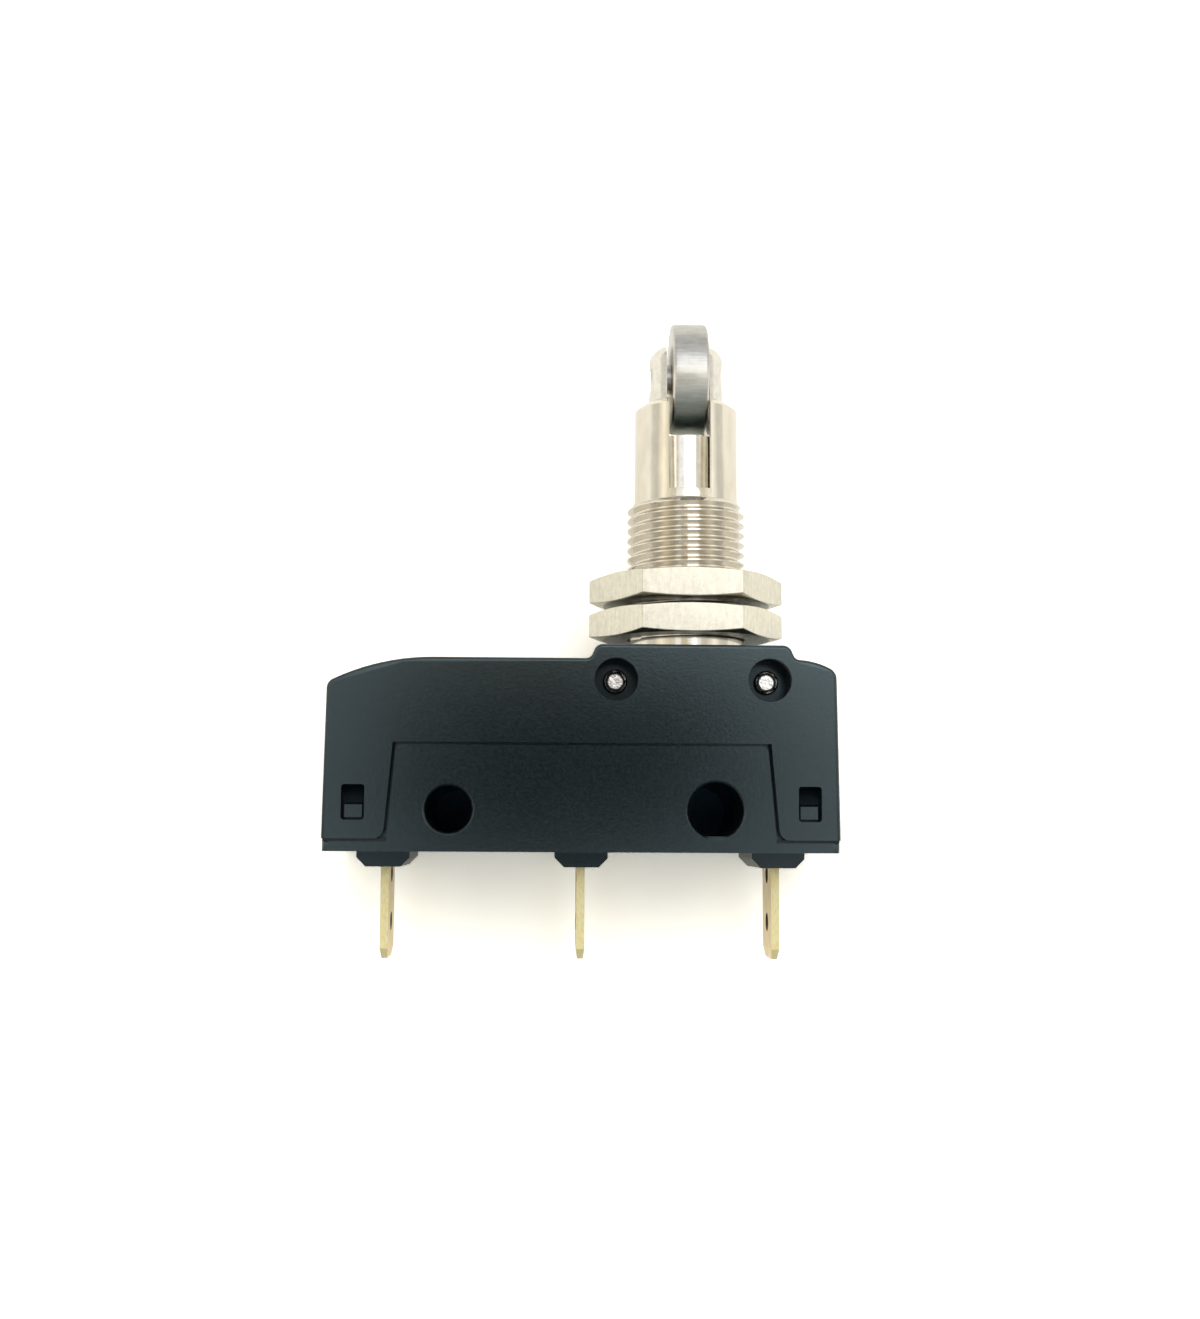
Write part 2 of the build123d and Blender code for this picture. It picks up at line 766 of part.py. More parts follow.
def make_threaded_bush():
    """Turned bush: foot in the housing, neck, M12 thread zone, slotted guide sleeve."""
    bore = plunger_radius + plunger_gap
    bush = turned(
        (spring_bore_radius, foot_z),
        (foot_radius, foot_z),
        (foot_radius, foot_top_z),
        (neck_radius, foot_top_z),
        (neck_radius, thread_low_z),
        *thread_outline(),
        (sleeve_radius, thread_top_z),
        (sleeve_radius, sleeve_top_z - sleeve_chamfer_axial),
        (sleeve_radius - sleeve_chamfer_radial, sleeve_top_z),
        (bore, sleeve_top_z),
        (bore, guide_shoulder_z),
        (spring_bore_radius, guide_shoulder_z),
    )
    groove_low = snap_ring_z - snap_ring_groove_gap
    groove_high = snap_ring_z + snap_ring_wire + snap_ring_groove_gap
    groove = rod(snap_ring_radius + snap_ring_groove_gap, groove_low, groove_high)
    bush -= groove
    slot_half = sleeve_slot_width / 2
    reach = sleeve_radius + past
    bush -= block(-slot_half, slot_half, -reach, reach, slot_floor_z, sleeve_top_z + past)
    for side in (-1, 1):
        bush -= cross_rod(rivet_radius + 2 * rivet_hole_gap, side * rivet_to_bush, rivet_z, foot_radius)
    return Pos(bush_x, 0, 0) * bush


def make_plunger():
    """Plunger: roller fork on top, ring groove, slim shank and a blind bore with a clenched lip."""
    plunger = rod(plunger_radius, stop_ring_z + stop_ring_thickness, fork_top_z)
    plunger = fillet(plunger.edges().filter_by(GeomType.CIRCLE).sort_by(Axis.Z)[-1], fork_top_radius)
    groove_radius = stop_ring_inner_radius - stop_ring_gap
    plunger += rod(groove_radius, stop_ring_z, stop_ring_z + stop_ring_thickness)
    plunger += rod(shank_radius, plunger_bottom_z, stop_ring_z)
    bore_top_z = plunger_bottom_z + plunger_bore_depth
    plunger -= rod(plunger_bore_radius, plunger_bottom_z + plunger_lip, bore_top_z)
    plunger -= rod(plunger_lip_radius, plunger_bottom_z - past, plunger_bottom_z + plunger_lip)
    slot_half = fork_slot_width / 2
    reach = plunger_radius + past
    plunger -= block(-slot_half, slot_half, -reach, reach, fork_floor_z, fork_top_z + past)
    hole_radius = axle_radius + axle_hole_gap
    plunger -= Pos(0, 0, axle_z) * Rot(0, 90, 0) * Cylinder(hole_radius, 2 * reach)
    for side in (-1, 1):
        sink = Cone(hole_radius, axle_sink_radius, axle_sink_depth)
        place = Pos(side * (plunger_radius - axle_sink_depth / 2), 0, axle_z)
        plunger -= place * Rot(0, side * 90, 0) * sink
    return Pos(bush_x, 0, 0) * plunger


def make_roller():
    """Steel roller with chamfered edges, bored for its axle."""
    half = roller_width / 2
    bore = axle_radius + roller_bore_gap
    wheel = turned(
        (bore, -half),
        (roller_radius - roller_chamfer, -half),
        (roller_radius, -half + roller_chamfer),
        (roller_radius, half - roller_chamfer),
        (roller_radius - roller_chamfer, half),
        (bore, half),
    )
    return Pos(bush_x, 0, axle_z) * Rot(0, 90, 0) * wheel


def make_roller_axle():
    """Axle pin across the fork, its chamfered ends just below the fork's outer face."""
    half = plunger_radius - axle_end_inset
    pin = turned(
        (0, -half),
        (axle_radius - axle_chamfer, -half),
        (axle_radius, -half + axle_chamfer),
        (axle_radius, half - axle_chamfer),
        (axle_radius - axle_chamfer, half),
        (0, half),
    )
    return Pos(bush_x, 0, axle_z) * Rot(0, 90, 0) * pin


def open_ring(inner, outer, z0, thickness, mouth_deg):
    """Flat ring with a wedge-shaped mouth towards the back."""
    ring = rod(outer, z0, z0 + thickness) - rod(inner, z0 - past, z0 + thickness + past)
    half = math.radians(mouth_deg / 2)
    reach = 2 * outer
    mouth = make_face(Polyline(
        (0, 0, z0),
        (reach * math.sin(half), reach * math.cos(half), z0),
        (-reach * math.sin(half), reach * math.cos(half), z0),
        close=True,
    ))
    return ring - extrude(mouth, amount=thickness, dir=(0, 0, 1), both=True)


def make_stop_ring():
    """Retaining ring on the plunger that stops it against the bush's shoulder."""
    ring = open_ring(
        stop_ring_inner_radius, stop_ring_radius, stop_ring_z + stop_ring_gap,
        stop_ring_thickness - 2 * stop_ring_gap, stop_ring_mouth_deg)
    return Pos(bush_x, 0, 0) * ring


def make_seat_snap_ring():
    """Snap ring in the bush under the spring seat."""
    ring = open_ring(
        snap_ring_inner_radius, snap_ring_radius, snap_ring_z, snap_ring_wire, snap_ring_mouth_deg)
    return Pos(bush_x, 0, 0) * ring


def make_spring_seat():
    """Washer that carries the return spring and guides the pusher."""
    washer = rod(seat_radius, seat_z, seat_top_z) - rod(seat_hole_radius, seat_z - past, seat_top_z + past)
    return Pos(bush_x, 0, 0) * washer


def coil_spring(mean_radius, wire, turns, z0, z1):
    """Round-wire compression spring between two heights."""
    rise = z1 - z0 - wire
    line = Pos(0, 0, z0 + wire / 2) * Helix(pitch=rise / turns, height=rise, radius=mean_radius)
    section = Plane(origin=line @ 0, z_dir=line % 0) * Circle(wire / 2)
    return Pos(bush_x, 0, 0) * sweep(section, path=line, is_frenet=True)


def make_return_spring():
    """Spring round the shank that pushes the plunger out."""
    return coil_spring(
        return_mean_radius, return_wire, return_turns,
        seat_top_z + spring_end_gap, stop_ring_z - spring_end_gap)


def make_overtravel_spring():
    """Spring in the plunger's bore that takes up travel once the button is down."""
    return coil_spring(
        overtravel_mean_radius, overtravel_wire, overtravel_turns,
        pusher_head_z + pusher_head_height + spring_end_gap,
        plunger_bottom_z + plunger_bore_depth - spring_end_gap)


def make_pusher():
    """Headed pin that the plunger's inner spring presses towards the button."""
    pin = rod(pusher_radius, pusher_tip_z, pusher_head_z)
    pin += rod(pusher_head_radius, pusher_head_z, pusher_head_z + pusher_head_height)
    return Pos(bush_x, 0, 0) * pin


def make_panel_nut(z0):
    """Thin hexagon nut with a flat to the front and chamfered corners on both faces."""
    bore = thread_crest_radius + nut_thread_gap
    flat_radius = bore + nut_wall
    corner_radius = flat_radius / math.cos(math.radians(30))
    face_radius = flat_radius - nut_face_inset
    drop = (corner_radius - face_radius) * math.tan(math.radians(nut_chamfer_deg))
    hexagon = Pos(0, 0, z0) * RegularPolygon(flat_radius, 6, major_radius=False)
    nut = extrude(hexagon, amount=nut_height)
    nut &= turned(
        (0, z0),
        (face_radius, z0),
        (corner_radius, z0 + drop),
        (corner_radius, z0 + nut_height - drop),
        (face_radius, z0 + nut_height),
        (0, z0 + nut_height),
    )
    nut -= rod(bore, z0 - past, z0 + nut_height + past)
    return Pos(bush_x, 0, 0) * nut


os.makedirs("parts", exist_ok=True)
pieces = {
    "actuator_housing": make_actuator_housing(),
    "switch_case": make_switch_case(),
    "switch_cover": make_switch_cover(),
    "threaded_bush": make_threaded_bush(),
    "rivet_left": make_rivet(-1),
    "rivet_right": make_rivet(1),
    "lower_panel_nut": make_panel_nut(lower_nut_z),
    "upper_panel_nut": make_panel_nut(upper_nut_z),
    "plunger": make_plunger(),
    "roller": make_roller(),
    "roller_axle": make_roller_axle(),
    "stop_ring": make_stop_ring(),
    "return_spring": make_return_spring(),
    "spring_seat": make_spring_seat(),
    "seat_snap_ring": make_seat_snap_ring(),
    "pusher": make_pusher(),
    "overtravel_spring": make_overtravel_spring(),
    "switch_button": make_button(),
    "snap_blade": make_snap_blade(),
    "snap_leaf": make_snap_leaf(),
    "moving_contact": make_moving_contact(),
    "normally_open_contact": make_fixed_contact(lower_contact_z, lower_strip_z),
    "normally_closed_contact": make_fixed_contact(upper_contact_z, upper_strip_z),
    "common_terminal": make_common_terminal(),
    "normally_open_terminal": make_normally_open_terminal(),
    "normally_closed_terminal": make_normally_closed_terminal(),
}
for name, piece in pieces.items():
    export_step(piece, f"parts/{name}.step")
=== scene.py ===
import json
import math

import bmesh
import bpy
from mathutils import Matrix, Vector


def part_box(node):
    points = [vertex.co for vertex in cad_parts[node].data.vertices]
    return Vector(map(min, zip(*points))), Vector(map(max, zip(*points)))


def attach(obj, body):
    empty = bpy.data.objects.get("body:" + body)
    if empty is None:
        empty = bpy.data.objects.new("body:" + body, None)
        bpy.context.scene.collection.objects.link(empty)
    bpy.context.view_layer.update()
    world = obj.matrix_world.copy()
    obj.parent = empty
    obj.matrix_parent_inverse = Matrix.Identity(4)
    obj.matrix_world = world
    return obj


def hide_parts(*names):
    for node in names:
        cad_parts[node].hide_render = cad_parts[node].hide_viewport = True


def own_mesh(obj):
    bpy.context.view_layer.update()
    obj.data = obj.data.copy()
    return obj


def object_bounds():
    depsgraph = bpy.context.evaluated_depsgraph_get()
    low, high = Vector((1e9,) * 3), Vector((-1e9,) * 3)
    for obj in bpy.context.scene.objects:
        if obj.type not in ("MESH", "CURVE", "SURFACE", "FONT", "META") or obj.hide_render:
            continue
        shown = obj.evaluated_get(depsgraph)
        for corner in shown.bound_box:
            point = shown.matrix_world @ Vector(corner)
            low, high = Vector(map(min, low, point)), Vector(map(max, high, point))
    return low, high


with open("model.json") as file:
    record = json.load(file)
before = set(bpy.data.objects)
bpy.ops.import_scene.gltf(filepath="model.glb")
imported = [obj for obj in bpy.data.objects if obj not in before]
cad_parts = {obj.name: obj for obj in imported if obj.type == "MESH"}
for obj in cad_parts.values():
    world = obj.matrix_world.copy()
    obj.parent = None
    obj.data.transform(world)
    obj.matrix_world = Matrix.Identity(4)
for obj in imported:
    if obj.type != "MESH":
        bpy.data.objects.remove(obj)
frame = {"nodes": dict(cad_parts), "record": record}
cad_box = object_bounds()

# Roller-plunger snap-action switch, lying on its back on a white sheet and seen from above.
# Everything is in metres; sizes are written in millimetres times mm.
# X runs along the body, Z up along the plunger, and the front face looks to -Y.

mm = 0.001

# Camera
camera_place = Vector((9.023, -166.7, -1.863)) * mm
camera_pitch_deg = 5.85
camera_yaw_deg = -1.91
camera_roll_deg = -0.30
focal_length_px = 1661.9
photo_height_px = 1319
sensor_mm = 36.0

# White sheet behind the part: its colour as the camera sees it and as the part mirrors it
sheet_gap = 0.35 * mm
sheet_half_size = 1.5
sheet_seen = (2.1, 2.08, 2.03)
sheet_mirrored = (1.40, 1.38, 1.33)

# Dark card with soft edges round the lens, which the glossy front faces mirror
card_distance = 6.0 * mm
card_aside = 5.5 * mm
card_rise = 14.0 * mm
card_tilt = 0.10
card_half_width = 41.0 * mm
card_half_height = 22.6 * mm
card_squareness = 3.0
card_solid_to = 0.68
card_clear_from = 1.28
card_dark = (0.010, 0.012, 0.014)
# Small warm patch above the card, seen in the bush's neck and thread
patch_from_x = -29.0 * mm
patch_to_x = 12.0 * mm
patch_low = 31.0 * mm
patch_high = 66.0 * mm
patch_soft = 1.0 * mm
patch_warm = (0.85, 0.75, 0.60)

# Key lamp
key_place = Vector((110.0, -620.0, 260.0)) * mm
key_size = 0.42
key_power = 0.5
key_color = (1.0, 0.985, 0.96)

# Room light seen from the part: share of half a turn from the front round to the far side
room_round = [
    (0.0, (1.32, 1.32, 1.32)),
    (0.146, (1.30, 1.30, 1.28)),
    (0.152, (0.62, 0.60, 0.55)),
    (0.158, (1.02, 0.97, 0.86)),
    (0.20, (0.92, 0.87, 0.75)),
    (0.25, (1.12, 1.08, 0.98)),
    (0.31, (1.52, 1.48, 1.38)),
    (0.355, (1.22, 1.19, 1.11)),
    (0.40, (0.86, 0.85, 0.80)),
    (0.47, (0.92, 0.90, 0.84)),
    (0.51, (1.15, 1.12, 1.05)),
    (1.0, (1.15, 1.12, 1.05)),
]
# Strength of that light by height, from the low side (0) through level (0.5) to the top side (1)
room_height = [
    (0.0, 0.12), (0.09, 0.22), (0.15, 0.29), (0.21, 0.40), (0.29, 0.50), (0.38, 0.63), (0.465, 0.76),
    (0.55, 0.90), (0.64, 1.0), (0.72, 0.96), (0.8, 0.86), (0.86, 0.7), (0.92, 0.62), (1.0, 0.6),
]
# The low side turns teal below this height, with less red and more blue at its darkest
teal_below = 0.3
teal_less_red = 0.22
teal_more_blue = 0.06
# The left front of the room is a little warm
warm_left = (1.0, 0.965, 0.89)
warm_from_left = (0.25, 0.7)
warm_from_front = (0.0, 0.5)

# Noise is stretched to between 0 and 1 from one of these ranges
noise_range = (0.3, 0.7)
sharp_noise_range = (0.35, 0.65)
# Width of the border of a painted zone
zone_fade = 0.1 * mm

# Recesses of the body whose walls get painted shade: they are made matt and dark, as are the catch
# windows and the collars
front_face_y = 8.75 * mm
recess_fade = 0.5 * mm
rivet_recess_radius = 2.1 * mm
rivet_recess_share = 0.55
mounting_holes = [(0.0, 2.2 * mm), (25.4 * mm, 2.62 * mm)]
window_middles = (-9.0 * mm, 34.4 * mm)
window_half_width = 1.1 * mm
window_middle_z = 0.64 * mm
window_half_height = 1.68 * mm
window_floor_depths = (0.85 * mm, 1.0 * mm)
window_share = 0.8
catch_top_z = 1.3 * mm
collar_top_z = -4.0 * mm
collar_share = 0.45
recess_shade_color = (0.016, 0.024, 0.032)

# Dark discs of painted shade on the sheet under the mounting holes
hole_shade_margin = 0.4 * mm
hole_shade_points = 32
hole_shade_color = (0.10, 0.17, 0.26)

# Tab holes, whose walls get painted shade
tab_hole_radius = 0.905 * mm
tab_hole_heights = (-10.9 * mm, -6.2 * mm)
tab_hole_fade = 0.03 * mm

# Rivets: radii at which the stub ends, and at which the ring round it starts and ends; beyond the
# stub the groove and ring get painted shade, broken by bright arcs on the ring
bush_middle_x = 23.25 * mm
rivet_to_bush = 7.37 * mm
rivet_middle_z = 12.48 * mm
stub_end = (0.66 * mm, 0.74 * mm)
ring_start = (0.88 * mm, 0.96 * mm)
ring_end = (1.06 * mm, 1.14 * mm)
rivet_unevenness = 0.35 * mm

# Bush: thread and sleeve
thread_pitch = 1.0 * mm
thread_depth = 0.62 * mm
thread_crest_radius = 5.94 * mm
thread_low_z = 17.03 * mm
thread_top_z = 31.03 * mm
thread_start = 0.31
thread_lead_in = 0.08 * mm
crest_share = 0.13
root_share = 0.14
rounding_share = 0.03
rounding_depth = 0.05 * mm
neck_radius = 5.7 * mm
neck_top_row = 0.1 * mm
foot_radius = 6.9 * mm
foot_top_z = 14.28 * mm
sleeve_radius = 5.22 * mm
sleeve_chamfer_radial = 1.1 * mm
sleeve_chamfer_axial = 0.8 * mm
sleeve_slot_width = 4.1 * mm
sleeve_slot_floor_z = 31.93 * mm
guide_bore_radius = 3.87 * mm
guide_shoulder_z = 22.08 * mm
spring_bore_radius = 4.5 * mm
bush_edge_bevel = 0.06 * mm
bush_bevel_from_deg = 50.0
bush_columns = 144

# Nuts: heights between the two, where a painted tone turns from the lighter lower nut to the darker
# upper nut, and how far down a face looks to be an underside, which gets a painted dark reflection
between_nuts_z = (20.2 * mm, 20.5 * mm)
underside_facing = (0.982, 0.995)
nut_edge_bevel = 0.09 * mm
moulding_edge_bevel = 0.05 * mm

# Springs: wire and turns
return_wire = 0.7 * mm
return_turns = 4.5
overtravel_wire = 0.5 * mm
overtravel_turns = 8
spring_columns = 40
wire_points = 12

# Roller, with heights of its painted highlight band and of its dark low part, which is painted shade
roller_shift = 0.16 * mm
roller_rim = 0.3 * mm
roller_rim_steps = 6
roller_bore = 1.53 * mm
roller_columns = 96
painted_band_rise = (39.8 * mm, 41.0 * mm)
painted_band_fall = (42.8 * mm, 44.6 * mm)
roller_low_fall = (39.0 * mm, 41.0 * mm)

# Seam above the flange, where a dark strip paints the shadow in the gap
seam_inset = 0.12 * mm
seam_low_z = -3.02 * mm
seam_high_z = -2.80 * mm
seam_overlap = 0.02 * mm

# Meshes: points nearer than this are one, and edges sharper than these stay sharp
weld_distance = 0.0005 * mm
turned_smooth_deg = 35.0
wire_smooth_deg = 50.0


class Signal:
    """A value socket whose arithmetic adds Math nodes."""

    def __init__(self, shading, socket):
        self.shading = shading
        self.socket = socket

    def math(self, operation, *others):
        """Math node on this value and the others, in that order."""
        values = dict(enumerate((self, *others)))
        return self.shading.node("ShaderNodeMath", {"operation": operation}, values).signal()

    def __add__(self, other):
        return self.math("ADD", other)

    def __mul__(self, other):
        return self.math("MULTIPLY", other)

    def __sub__(self, other):
        return self.math("SUBTRACT", other)

    def __rsub__(self, other):
        return self * -1.0 + other

    def __pow__(self, other):
        return self.math("POWER", other)

    __radd__ = __add__
    __rmul__ = __mul__

    def ramp(self, low, high):
        """0 below low, 1 above high, smooth between."""
        return self.shading.node(
            "ShaderNodeMapRange", {"interpolation_type": "SMOOTHSTEP"},
            {"Value": self, "From Min": low, "From Max": high},
        ).signal("Result")

    def spread(self, noise_from=noise_range):
        """Noise stretched to between 0 and 1."""
        return self.ramp(*noise_from)

    def between(self, rise, fall):
        """0 before the rise, 1 from there to the fall, 0 after it."""
        return self.ramp(*rise) * (1.0 - self.ramp(*fall))

    def within(self, reach, fade=zone_fade):
        """1 up to a reach, 0 past its border."""
        return 1.0 - self.ramp(reach, reach + fade)


class Made:
    """A node that has just been added."""

    def __init__(self, shading, node):
        self.shading = shading
        self.node = node

    def signal(self, output=0):
        return Signal(self.shading, self.node.outputs[output])


class Shading:
    """A node tree with the one method that adds nodes to it."""

    def __init__(self, tree):
        self.tree = tree

    def node(self, kind, settings=None, inputs=None):
        """Node of a type, with its settings first and then the values or links of its sockets."""
        node = self.tree.nodes.new(kind)
        for key, value in (settings or {}).items():
            if key == "stops":
                set_stops(node.color_ramp, value)
            else:
                setattr(node, key, value)
        for key, value in (inputs or {}).items():
            self.feed(node.inputs[key], value)
        return Made(self, node)

    def feed(self, socket, value):
        """Link a signal to a socket, or set its value; a colour is opaque."""
        if isinstance(value, Signal):
            self.tree.links.new(value.socket, socket)
        elif socket.type == "RGBA":
            socket.default_value = (*value, 1.0)
        else:
            socket.default_value = value

    def mix(self, share, low, high):
        """Colour between two colours."""
        return self.node(
            "ShaderNodeMix", {"data_type": "RGBA"}, {0: share, 6: low, 7: high}).signal(2)

    def product(self, first, second):
        """Product of two colours or vectors."""
        return self.node(
            "ShaderNodeVectorMath", {"operation": "MULTIPLY"}, {0: first, 1: second}).signal()

    def coordinate(self, kind, axis):
        """One axis of a texture coordinate, such as Object or Normal."""
        whole = self.node("ShaderNodeTexCoord").signal(kind)
        return self.node("ShaderNodeSeparateXYZ", None, {0: whole}).signal(axis)

    def light_path(self, kind):
        """1 for rays of a kind, such as Is Camera Ray."""
        return self.node("ShaderNodeLightPath").signal(kind)

    def backfacing(self):
        """1 where a face is seen from its back."""
        return self.node("ShaderNodeNewGeometry").signal("Backfacing")

    def diffuse(self, color):
        return self.node("ShaderNodeBsdfDiffuse", None, {"Color": color}).signal()

    def clear(self):
        return self.node("ShaderNodeBsdfTransparent").signal()

    def mix_shaders(self, share, first, second):
        """Shader between two shaders."""
        return self.node("ShaderNodeMixShader", None, {0: share, 1: first, 2: second}).signal()


def set_stops(ramp, stops):
    """Give a colour ramp its stops, as (place, colour) pairs."""
    while len(ramp.elements) < len(stops):
        ramp.elements.new(1.0)
    for element, (place, color) in zip(ramp.elements, stops):
        element.position = place
        element.color = (*color, 1.0)


class Finish(Shading):
    """A surface finish: one Principled shader and the textures that feed it."""

    def __init__(self, name, color, roughness, metallic=0.0, **constants):
        self.material = bpy.data.materials.new(name)
        self.material.use_nodes = True
        super().__init__(self.material.node_tree)
        self.shader = self.tree.nodes["Principled BSDF"]
        self.set("Base Color", color)
        self.set("Roughness", roughness)
        self.set("Metallic", metallic)
        for key, value in constants.items():
            self.set(key.replace("_", " "), value)

    def set(self, name, value):
        self.feed(self.shader.inputs[name], value)

    def noise(self, per_mm, detail=2.0, roughness=0.5):
        """Noise with its cycles for each millimetre along the piece's three axes."""
        spot = self.node("ShaderNodeTexCoord").signal("Object")
        spot = self.product(spot, tuple(cycles / mm for cycles in per_mm))
        return self.node(
            "ShaderNodeTexNoise", None,
            {"Vector": spot, "Scale": 1.0, "Detail": detail, "Roughness": roughness},
        ).signal("Fac")

    def bump(self, height, depth, strength):
        """Unevenness of the surface, with its depth where height is 1."""
        normal = self.node(
            "ShaderNodeBump", None,
            {"Height": height, "Distance": depth, "Strength": strength}).signal("Normal")
        self.set("Normal", normal)


def tinted(color, factor):
    """A colour made lighter or darker."""
    return tuple(channel * factor for channel in color)


def distance(aside, above):
    """Length of the way from a point, from how far it goes aside and up."""
    return (aside.math("ABSOLUTE") ** 2.0 + above.math("ABSOLUTE") ** 2.0) ** 0.5


def black_moulding():
    """Black moulding with a fine spark-eroded grain, and painted shade inside its recesses."""
    color = (0.0030, 0.0058, 0.0076)
    finish = Finish(
        "black_moulding", color, 0.3, Specular_IOR_Level=0.85, Specular_Tint=(0.77, 1.0, 1.08))
    grain = finish.noise((4.2, 4.2, 4.2), detail=4.0, roughness=0.75)
    patches = finish.noise((0.11, 0.11, 0.11))
    shade = grain.spread() * 0.7 + patches.spread() * 0.3
    finish.set("Base Color", finish.mix(shade, tinted(color, 0.1), tinted(color, 2.0)))
    finish.set("Roughness", 0.12 + grain * 0.12)
    finish.bump(grain, 0.014 * mm, 0.6)
    glossy = Signal(finish, finish.shader.outputs[0])
    # Painted shade: a matt dark diffuse mixed into the glossy moulding by the recess share
    mixed = finish.mix_shaders(recess_shade_share(finish), glossy, finish.diffuse(recess_shade_color))
    finish.feed(finish.tree.nodes["Material Output"].inputs["Surface"], mixed)
    return finish.material


def recess_shade_share(finish):
    """Share of painted shade on the body: high in recesses, in catch windows and on collars, 0
    elsewhere.
    """
    x = finish.coordinate("Object", "X")
    z = finish.coordinate("Object", "Z")
    depth = front_face_y - finish.coordinate("Object", "Y").math("ABSOLUTE")
    sunk = depth.ramp(0.0, recess_fade)
    # The collars get painted shade too
    total = z.within(collar_top_z - zone_fade) * collar_share
    for side in (-1, 1):
        away = distance(x - (bush_middle_x + side * rivet_to_bush), z - rivet_middle_z)
        total = away.within(rivet_recess_radius) * sunk * rivet_recess_share + total
    for window_x in window_middles:
        beside = (x - window_x).math("ABSOLUTE").within(window_half_width)
        tall = (z - window_middle_z).math("ABSOLUTE").within(window_half_height)
        over_catch = z.ramp(catch_top_z - zone_fade, catch_top_z)
        shut = depth.ramp(*window_floor_depths).math("MAXIMUM", over_catch)
        total = beside * tall * shut * sunk * window_share + total
    return total.math("MINIMUM", 1.0)


def plated_brass():
    """Bright nickel plate on turned brass, with faint turning rings and a painted reflection tone for
    the thread.
    """
    color = (0.69, 0.65, 0.565)
    thread_mirror_tone = (0.68, 0.645, 0.575)
    finish = Finish("nickel_plate", color, 0.12, metallic=1.0)
    rings = finish.noise((0.3, 0.3, 9.0))
    blotches = finish.noise((0.8, 0.8, 0.35), detail=3.0)
    height = finish.coordinate("Object", "Z")
    on_thread = height.between(
        (thread_low_z, thread_low_z + thread_pitch), (thread_top_z, thread_top_z + zone_fade))
    plate = finish.mix(blotches.spread(), tinted(color, 0.93), tinted(color, 1.06))
    # The thread gets a painted reflection tone
    finish.set("Base Color", finish.mix(on_thread, plate, thread_mirror_tone))
    finish.set("Roughness", 0.05 + rings * 0.06 + blotches * 0.05)
    finish.bump(rings, 0.002 * mm, 0.4)
    return finish.material


def turned_steel():
    """Bright turned steel of the plunger, a little whiter than the plated bush."""
    color = (0.70, 0.685, 0.635)
    finish = Finish("turned_plunger_steel", color, 0.14, metallic=1.0)
    rings = finish.noise((0.4, 0.4, 7.0))
    scuffs = finish.noise((1.4, 1.4, 1.1), detail=6.0, roughness=0.65)
    shade = scuffs.spread(sharp_noise_range)
    finish.set("Base Color", finish.mix(shade, tinted(color, 0.92), tinted(color, 1.06)))
    finish.set("Roughness", 0.06 + rings * 0.06 + scuffs * 0.1)
    finish.bump(rings * 0.3 + scuffs * 0.7, 0.012 * mm, 0.6)
    return finish.material


def brushed_nut():
    """Nickel-plated hexagon stock with scuffs, faint lines along the axis, a painted tone that keeps
    the upper nut darker than the lower, and undersides painted dark as a reflection.
    """
    color = (0.72, 0.695, 0.60)
    dull, bright = (0.84, 0.835, 0.825), (1.08, 1.08, 1.08)
    dark_underside_reflection = (0.20, 0.235, 0.235)
    finish = Finish("brushed_nickel_nut", color, 0.34, metallic=1.0)
    lines = finish.noise((2.6, 2.6, 0.5), detail=5.0, roughness=0.65)
    scuffs = finish.noise((1.6, 1.6, 1.6), detail=6.0, roughness=0.75)
    shade = lines.spread(sharp_noise_range) * 0.45 + scuffs.ramp(0.38, 0.62) * 0.55
    on_upper = finish.coordinate("Object", "Z").ramp(*between_nuts_z)
    # Painted light: the lower nut lighter, the upper nut darker
    tone = finish.mix(on_upper, tinted(color, 1.04), tinted(color, 0.97))
    scuffed_with_painted_tone = finish.product(tone, finish.mix(shade, dull, bright))
    down = finish.coordinate("Normal", "Z") * -1.0
    # Painted reflection: undersides dark teal, as if mirroring the dark roof
    finish.set("Base Color", finish.mix(down.ramp(*underside_facing), scuffed_with_painted_tone, dark_underside_reflection))
    finish.set("Roughness", 0.2 + scuffs * 0.2)
    finish.bump(scuffs, 0.01 * mm, 0.6)
    return finish.material


def ground_roller():
    """Steel roller, ground across its tread, with a painted highlight band and painted shade on its
    low part.
    """
    color = (0.50, 0.50, 0.49)
    painted_band_dull, painted_band_bright = (0.66, 0.635, 0.57), (0.82, 0.79, 0.72)
    painted_low_shade = (0.33, 0.385, 0.38)
    finish = Finish("ground_roller_steel", color, 0.33, metallic=1.0)
    lines = finish.noise((0.5, 6.0, 6.0), detail=3.0)
    spots = finish.noise((1.2, 1.2, 1.2), detail=5.0, roughness=0.7)
    shade = lines.spread() * 0.7 + spots.spread(sharp_noise_range) * 0.3
    height = finish.coordinate("Object", "Z")
    dull = finish.mix(shade, tinted(color, 0.8), tinted(color, 1.15))
    bright = finish.mix(shade, painted_band_dull, painted_band_bright)
    # Painted highlight band across the tread
    steel = finish.mix(height.between(painted_band_rise, painted_band_fall), dull, bright)
    # Painted shade on the low part
    low = 1.0 - height.ramp(*roller_low_fall)
    finish.set("Base Color", finish.mix(low, steel, painted_low_shade))
    finish.set("Roughness", 0.24 + lines * 0.2)
    finish.bump(lines, 0.008 * mm, 0.6)
    return finish.material


def plain_metal(name, color, roughness):
    """Metal of small inner pieces, with a faint cloudiness."""
    finish = Finish(name, color, roughness, metallic=1.0)
    clouds = finish.noise((1.6, 1.6, 1.6), detail=3.0)
    finish.set(
        "Base Color", finish.mix(clouds.spread(), tinted(color, 0.85), tinted(color, 1.12)))
    finish.set("Roughness", roughness - 0.08 + clouds * 0.16)
    return finish.material


